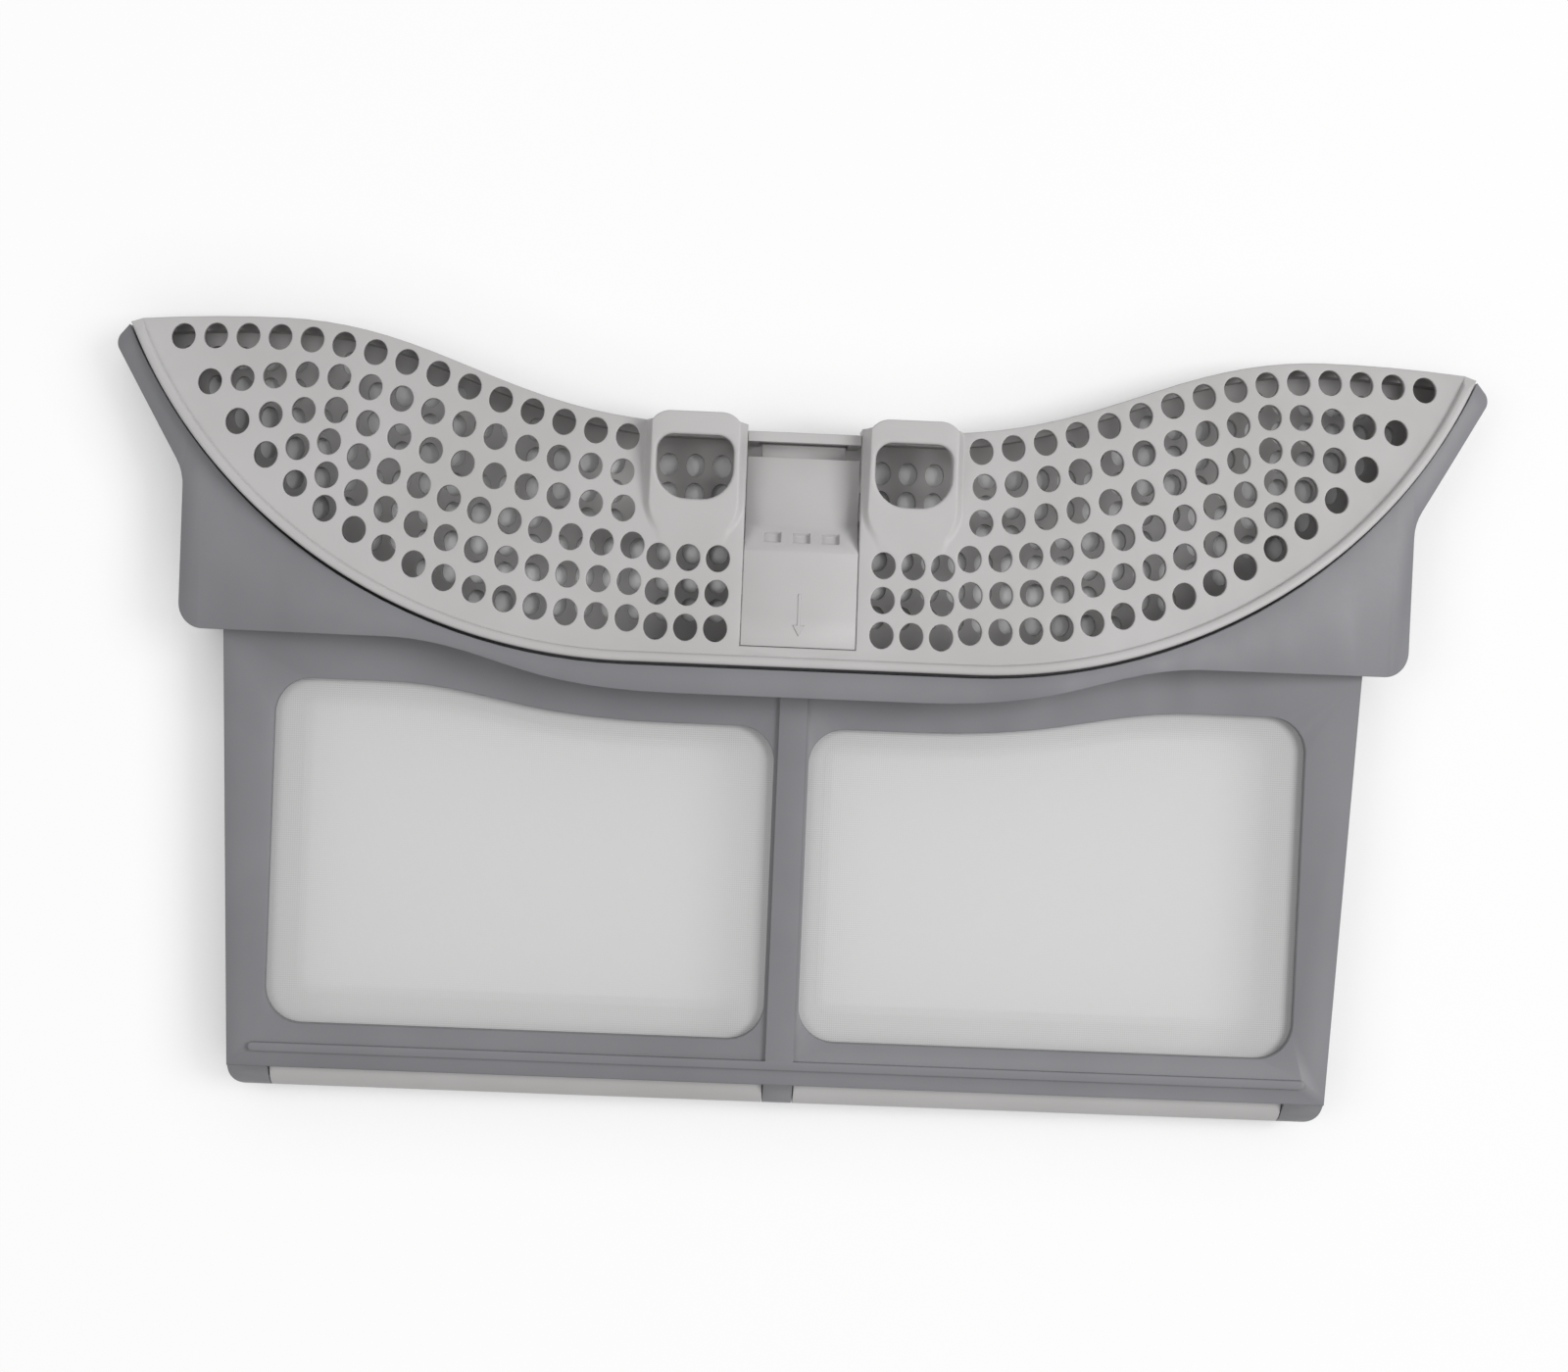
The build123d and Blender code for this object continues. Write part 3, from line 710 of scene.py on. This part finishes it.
under_lines = []
under_start, under_end = STEP_OUT - PLATE, FINGER_HALF - COWL_HALF + LIP
for side in (-1, 1):
    for i in range(UNDER_LINES):
        share = i / (UNDER_LINES - 1)
        under_lines += cowl_line(side, under_start + (under_end - under_start) * share)
under_openings = [hole_ring(hole, 0) for hole in holes]
under_openings += [finger_ring(side, 0) for side in (-1, 1)]
inner_loop = offset_loop(outer_loop, SKIRT_WALL)
under = triangulate(inner_loop, under_openings, under_lines)
shape = bmesh.new()
front_border, front_rings = add_sheet(shape, front, 0.0)
under_border, back_rings = add_sheet(shape, under, PLATE)
for number, (top_ring, back_ring) in enumerate(zip(front_rings, back_rings)):
    lip = LIP if number < len(holes) else FINGER_LIP
    upper = top_ring
    for grow, drop in LIP_STEPS:
        if number < len(holes):
            ring = hole_ring(holes[number], grow * lip)
        else:
            ring = finger_ring((-1, 1)[number - len(holes)], grow * lip)
        lower = [shape.verts.new((p.x, p.y, v.co.z - drop * lip)) for p, v in zip(ring, top_ring)]
        bridge(shape, lower, upper)
        upper = lower
    bridge(shape, back_ring, upper)
edge_top = [shape.verts.new((p.x, p.y, v.co.z - LIP)) for p, v in zip(outer_loop, front_border)]
edge_low = [shape.verts.new((p.x, p.y, skirt_z(p))) for p in outer_loop]
inner_low = [shape.verts.new((q.x, q.y, skirt_z(p))) for p, q in zip(outer_loop, inner_loop)]
levels = [front_border, edge_top, edge_low, inner_low, under_border]
for upper, lower in zip(levels, levels[1:]):
    bridge(shape, lower, upper)
bmesh.ops.remove_doubles(shape, verts=shape.verts, dist=WELD / 2)
grille = add_piece(closed_mesh(shape, "grille_moulding"), light_plastic)
for face in grille.data.polygons:
    face.use_smooth = True
grille.modifiers.new("even_shading", "WEIGHTED_NORMAL")
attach(grille, "front_half")
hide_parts("grille_cover")

# %% [markdown]
# ## Rear tray
#
# The back of the filter is a shallow tray in the grille's plastic. Its walls, hinge barrels and
# hook bar stay as the frame has them. Its flat back has closer and smaller perforations than the
# solid can carry, so the two faces of that plate are taken out of a copy and drawn again.

# %% Plate of the rear tray
TRAY_PLATE = 2.6 * MM
TRAY_HOLE = (5.3 * MM, 6.5 * MM)
TRAY_PITCH = (7.55 * MM, 8.2 * MM)
TRAY_FIRST_Y = 31 * MM
TRAY_ROWS = 10
TRAY_COLUMNS = 24
TRAY_MARGIN = 2.2 * MM
TRAY_MARGIN_STRIDE = 3
TRAY_RIM_MARGIN = 8 * MM
LEVEL_FACE = 0.99
SOLID_HOLE = 4.6 * MM
SOLID_HOLE_AREA = (40 * MM * MM, 70 * MM * MM)
CORNER_TOLERANCE = 0.004 * MM
WALL_HOLE = Vector((42.5 * MM, 79.5 * MM))


def on_level(face, z):
    """True for a flat face of the tray at one height."""
    return abs(face.normal.z) > LEVEL_FACE and abs(face.calc_center_median().z - z) < NEAR


def is_perforation(loop):
    """True for a loop as large as one of the solid's own perforations."""
    return SOLID_HOLE_AREA[0] < polygon_area(loop) < SOLID_HOLE_AREA[1]


def clear_of(point, loops):
    """True if an oval hole and its margin lie inside the first loop and outside the others."""
    outline, *openings = loops
    ring = oval_ring(point, TRAY_HOLE[0] + 2 * TRAY_MARGIN, TRAY_HOLE[1] + 2 * TRAY_MARGIN)
    for p in ring[::TRAY_MARGIN_STRIDE]:
        if not inside(p, outline) or any(inside(p, opening) for opening in openings):
            return False
    return True


def without_bites(loop):
    """A loop without the corners of perforations that cut into it."""
    kept = []
    for point in loop:
        misses = [abs((point - hole).length - SOLID_HOLE) for hole in solid_holes]
        if min(misses) > CORNER_TOLERANCE:
            kept.append(point)
    return kept


solid_holes, plate_loops = [WALL_HOLE, Vector((-WALL_HOLE.x, WALL_HOLE.y))], {}
for z, up in ((0.0, -1), (TRAY_PLATE, 1)):
    loops = boundary_loops("rear_frame", lambda face: on_level(face, z) and face.normal.z * up > 0)
    perforations = [loop for loop in loops if is_perforation(loop)]
    if up < 0:
        solid_holes += [sum(loop, Vector((0, 0))) / len(loop) for loop in perforations]
    loops = [without_bites(loop) for loop in loops if not is_perforation(loop)]
    plate_loops[z] = sorted(loops, key=polygon_area, reverse=True)
tray_holes = []
for column in range(-TRAY_COLUMNS, TRAY_COLUMNS + 1):
    for row in range(TRAY_ROWS):
        spot = Vector((column * TRAY_PITCH[0], TRAY_FIRST_Y + row * TRAY_PITCH[1]))
        if inside_rim(*spot) > TRAY_RIM_MARGIN and clear_of(spot, plate_loops[TRAY_PLATE]):
            tray_holes.append(spot)
print("tray perforations:", len(tray_holes), "in place of", len(solid_holes))

# %% [markdown]
# The walls of the solid's own perforations go with the plate's faces. Two of those perforations cut
# through the foot of the tray's top wall, and what they leave open there is filled.


# %% Rear tray
def is_drawn_again(face):
    """True for the plate's two faces and for the walls of the solid's own perforations."""
    middle = face.calc_center_median()
    near = any((middle.xy - hole).length < SOLID_HOLE for hole in solid_holes)
    inner = on_level(face, TRAY_PLATE) and face.normal.z > 0
    return inner or on_level(face, 0.0) or (near and middle.z < TRAY_PLATE + NEAR)


shape = bmesh.new()
shape.from_mesh(nodes["rear_frame"].data)
bmesh.ops.remove_doubles(shape, verts=shape.verts, dist=WELD)
bmesh.ops.delete(shape, geom=list(filter(is_drawn_again, shape.faces)), context="FACES")
rings = [oval_ring(hole, *TRAY_HOLE) for hole in tray_holes]
walls = []
for z, loops in plate_loops.items():
    plan, faces, _, places = triangulate(loops[0], loops[1:] + rings, [])
    verts = [shape.verts.new((p.x, p.y, z)) for p in plan]
    for face in faces:
        shape.faces.new([verts[i] for i in face])
    walls.append([[verts[i] for i in place] for place in places[len(loops) - 1 :]])
for upper, lower in zip(*walls):
    bridge(shape, upper, lower)
bmesh.ops.remove_doubles(shape, verts=shape.verts, dist=WELD)
bmesh.ops.holes_fill(shape, edges=[edge for edge in shape.edges if edge.is_boundary], sides=0)
tray = add_piece(closed_mesh(shape, "rear_tray"), light_plastic)
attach(tray, "rear_half")
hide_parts("rear_frame")

# %% [markdown]
# ## Arrow on the latch
#
# The latch's panel carries a faint arrow, moulded a quarter of a millimetre proud, that shows which
# way the latch lies. A drawn outline would do as a colour, but a raised one catches the light as
# the real one does. Each corner is set on the panel by a ray cast down to it.

# %% Arrow
ARROW_TOP = 36.5 * MM
ARROW_TIP = 24.8 * MM
ARROW_HEAD = 3.2 * MM
ARROW_HEAD_HALF = 1.7 * MM
ARROW_STEM_HALF = 0.45 * MM
ARROW_PROUD = 0.25 * MM
ARROW_SUNK = 0.1 * MM
ARROW_DRAFT = 0.15 * MM
RAY_START = 1.0


def on_latch(point, above):
    """A plan point set on the latch's panel, a distance above it."""
    start, down = Vector((point.x, point.y, RAY_START)), Vector((0, 0, -1))
    _, hit, *_ = nodes["thumb_latch"].ray_cast(start, down)
    return point.x, point.y, hit.z + above


neck = ARROW_TIP + ARROW_HEAD
arrow_half = [(ARROW_HEAD_HALF, neck), (ARROW_STEM_HALF, neck), (ARROW_STEM_HALF, ARROW_TOP)]
arrow_loop = [Vector((0, ARROW_TIP)), *map(Vector, arrow_half)]
arrow_loop += [Vector((-x, y)) for x, y in reversed(arrow_half)]
shape = bmesh.new()
foot = [shape.verts.new(on_latch(p, -ARROW_SUNK)) for p in arrow_loop]
crown = [shape.verts.new(on_latch(p, ARROW_PROUD)) for p in offset_loop(arrow_loop, ARROW_DRAFT)]
bridge(shape, foot, crown)
shape.faces.new(crown)
shape.faces.new(foot[::-1])
arrow = add_piece(closed_mesh(shape, "latch_arrow"), light_plastic)
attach(arrow, "latch")
print("arrow stands at mm:", round(max(v.co.z for v in arrow.data.vertices) / MM, 1))

# %% [markdown]
# ## Nylon mesh
#
# The windows hold a plain weave of fine white monofilament, stretched flat. A sheet with no
# thickness shows light from both sides, and the gaps between the threads let the back show
# through. The real threads are about 0.25 mm apart, which is below a pixel here, so the weave is
# drawn at 0.6 mm. A wave texture of scale one repeats every tenth of pi, which sets its scale.

# %% Woven nylon
THREAD = 0.6 * MM
WAVE_REPEAT = pi / 10
THREAD_DEPTH = 0.1 * MM
THREAD_STRENGTH = 0.15
THREAD_EDGES = (0.2, 0.8)
COVER = (0.4, 0.58)
NYLON_IOR = 1.53
NYLON_ROUGHNESS = 0.6

mesh_material, tree, output = new_material("woven_nylon_monofilament")
place = add_node(tree, "ShaderNodeTexCoord").outputs["Object"]
threads = []
for direction in ("X", "Y"):
    wave = add_node(
        tree,
        "ShaderNodeTexWave",
        {"bands_direction": direction, "wave_profile": "SIN"},
        {"Vector": place, "Scale": WAVE_REPEAT / THREAD},
    )
    threads.append(wave.outputs["Fac"])
both = {0: threads[0], 1: threads[1]}
crossing = add_node(tree, "ShaderNodeMath", {"operation": "MAXIMUM"}, both)
cover = add_node(
    tree,
    "ShaderNodeMapRange",
    None,
    {
        "Value": crossing.outputs["Value"],
        "From Min": THREAD_EDGES[0],
        "From Max": THREAD_EDGES[1],
        "To Min": COVER[0],
        "To Max": COVER[1],
    },
)
bump = add_node(
    tree,
    "ShaderNodeBump",
    None,
    {
        "Height": crossing.outputs["Value"],
        "Strength": THREAD_STRENGTH,
        "Distance": THREAD_DEPTH,
    },
)
cloth = add_node(
    tree,
    "ShaderNodeBsdfPrincipled",
    None,
    {
        "Base Color": linear("#ECECEC"),
        "Roughness": NYLON_ROUGHNESS,
        "IOR": NYLON_IOR,
        "Normal": bump.outputs["Normal"],
        "Alpha": cover.outputs["Result"],
    },
)
tree.links.new(cloth.outputs["BSDF"], output.inputs["Surface"])
print("mesh finish:", mesh_material.name)

# %% [markdown]
# Each panel is a flat sheet cut to its own node's outline. The outline is read from the frame, so
# the sheet keeps the window's round corners and its dipped top edge.


# %% Mesh panels
SHEET_TOLERANCE = 0.001 * MM


def faces_up(face):
    """True for a face of a panel's upper side."""
    return face.normal.z > FACES_UP


for node, carrier in (
    ("front_mesh_left", "front_frame"),
    ("front_mesh_right", "front_frame"),
    ("rear_mesh_left", "rear_frame"),
    ("rear_mesh_right", "rear_frame"),
):
    low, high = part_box(node)
    loop = max(boundary_loops(node, faces_up), key=polygon_area)
    height = (low.z + high.z) / 2
    edges = [(i, (i + 1) % len(loop)) for i in range(len(loop))]
    points, _, faces, *_ = delaunay_2d_cdt(loop, edges, [], 1, SHEET_TOLERANCE)
    data = bpy.data.meshes.new(node + "_sheet")
    data.from_pydata([(p.x, p.y, height) for p in points], [], faces)
    sheet = add_piece(data, mesh_material)
    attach(sheet, nodes[node]["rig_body"])
    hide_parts(node)

# %% [markdown]
# ## Studio
#
# The photograph stands on pure white. The floor is a pale sheet that catches a soft shadow, and
# what is seen of it directly is lifted towards white, so that no extra light falls on the object.
# Ambient occlusion takes that lift away where something stands close above the sheet, so the floor
# stays dim under the filter and shows no white through the holes. Round the filter's edge this
# leaves a painted contact shade: the occlusion mask darkens the floor there, not a lamp.

# %% Floor
FLOOR_HALF = 3.0
FLOOR_GAP = 0.05 * MM
SHADE_REACH = 30 * MM
SHADE_SAMPLES = 8
FULL_SHADE_OCCLUSION = 0.4
WHITE_SHARE = 0.85

floor_material, tree, output = new_material("white_paper_sweep")
paper = add_node(tree, "ShaderNodeBsdfDiffuse", None, {"Color": linear("#F2F2F2")})
glow = add_node(tree, "ShaderNodeEmission", None, {"Color": (1, 1, 1, 1), "Strength": 1.0})
rays = add_node(tree, "ShaderNodeLightPath").outputs
straight = add_node(
    tree,
    "ShaderNodeMath",
    {"operation": "ADD"},
    {0: rays["Is Glossy Ray"], 1: rays["Is Transmission Ray"]},
)
seen = add_node(
    tree,
    "ShaderNodeMath",
    {"operation": "MAXIMUM"},
    {0: rays["Is Camera Ray"], 1: straight.outputs["Value"]},
)
# Painted contact shade: occlusion dims the floor's white lift near and under the filter.
contact_shade_occlusion = add_node(
    tree,
    "ShaderNodeAmbientOcclusion",
    {"samples": SHADE_SAMPLES},
    {"Distance": SHADE_REACH},
)
unshaded_share = add_node(
    tree,
    "ShaderNodeMapRange",
    None,
    {"Value": contact_shade_occlusion.outputs["AO"], "From Min": FULL_SHADE_OCCLUSION},
)
lift_share = add_node(
    tree,
    "ShaderNodeMath",
    {"operation": "MULTIPLY"},
    {0: seen.outputs["Value"], 1: unshaded_share.outputs["Result"]},
)
white_share = add_node(
    tree,
    "ShaderNodeMath",
    {"operation": "MULTIPLY"},
    {0: lift_share.outputs["Value"], 1: WHITE_SHARE},
)
blend = add_node(
    tree,
    "ShaderNodeMixShader",
    None,
    {"Fac": white_share.outputs["Value"], 1: paper.outputs["BSDF"], 2: glow.outputs["Emission"]},
)
tree.links.new(blend.outputs["Shader"], output.inputs["Surface"])
floor_z = cad_low.z - FLOOR_GAP
square = ((-1, -1), (1, -1), (1, 1), (-1, 1))
corners = [(x * FLOOR_HALF, y * FLOOR_HALF, floor_z) for x, y in square]
floor_data = bpy.data.meshes.new("paper_floor")
floor_data.from_pydata(corners, [], [(0, 1, 2, 3)])
floor = add_piece(floor_data, floor_material)
print("floor:", floor.name)

# %% [markdown]
# The photograph's light comes from the upper right: faces that look left are darker. One large
# soft lamp does that, a weaker one fills from the left, and an even sky lifts the rest. Seen past
# the floor's edge the sky is plain white, as a studio's backdrop is.

# %% Lights
CENTRE = Vector((0, 0, 15 * MM))
KEY_PLACE, KEY_POWER = Vector((1.15, 0.25, 1.4)), 20
FILL_PLACE, FILL_POWER = Vector((-1.0, 0.1, 1.5)), 6
LAMP_SIZE = 0.8
SKY = 0.4


def soft_lamp(name, place, power):
    """A square area lamp at a place, turned to the middle of the filter."""
    data = bpy.data.lights.new(name, "AREA")
    data.size = LAMP_SIZE
    data.energy = power
    lamp = bpy.data.objects.new(name, data)
    bpy.context.scene.collection.objects.link(lamp)
    lamp.location = place
    lamp.rotation_euler = (CENTRE - lamp.location).to_track_quat("-Z", "Y").to_euler()


soft_lamp("key_lamp", KEY_PLACE, KEY_POWER)
soft_lamp("fill_lamp", FILL_PLACE, FILL_POWER)
world = bpy.data.worlds.new("studio_sky")
bpy.context.scene.world = world
world.use_nodes = True
tree = world.node_tree
tree.nodes.clear()
sky = add_node(tree, "ShaderNodeBackground", None, {"Color": (1, 1, 1, 1), "Strength": SKY})
backdrop = add_node(tree, "ShaderNodeBackground", None, {"Color": (1, 1, 1, 1), "Strength": 1.0})
seen = add_node(tree, "ShaderNodeLightPath").outputs["Is Camera Ray"]
blend = add_node(
    tree,
    "ShaderNodeMixShader",
    None,
    {"Fac": seen, 1: sky.outputs["Background"], 2: backdrop.outputs["Background"]},
)
output = add_node(tree, "ShaderNodeOutputWorld")
tree.links.new(blend.outputs["Shader"], output.inputs["Surface"])
bpy.context.scene.view_settings.view_transform = "Standard"
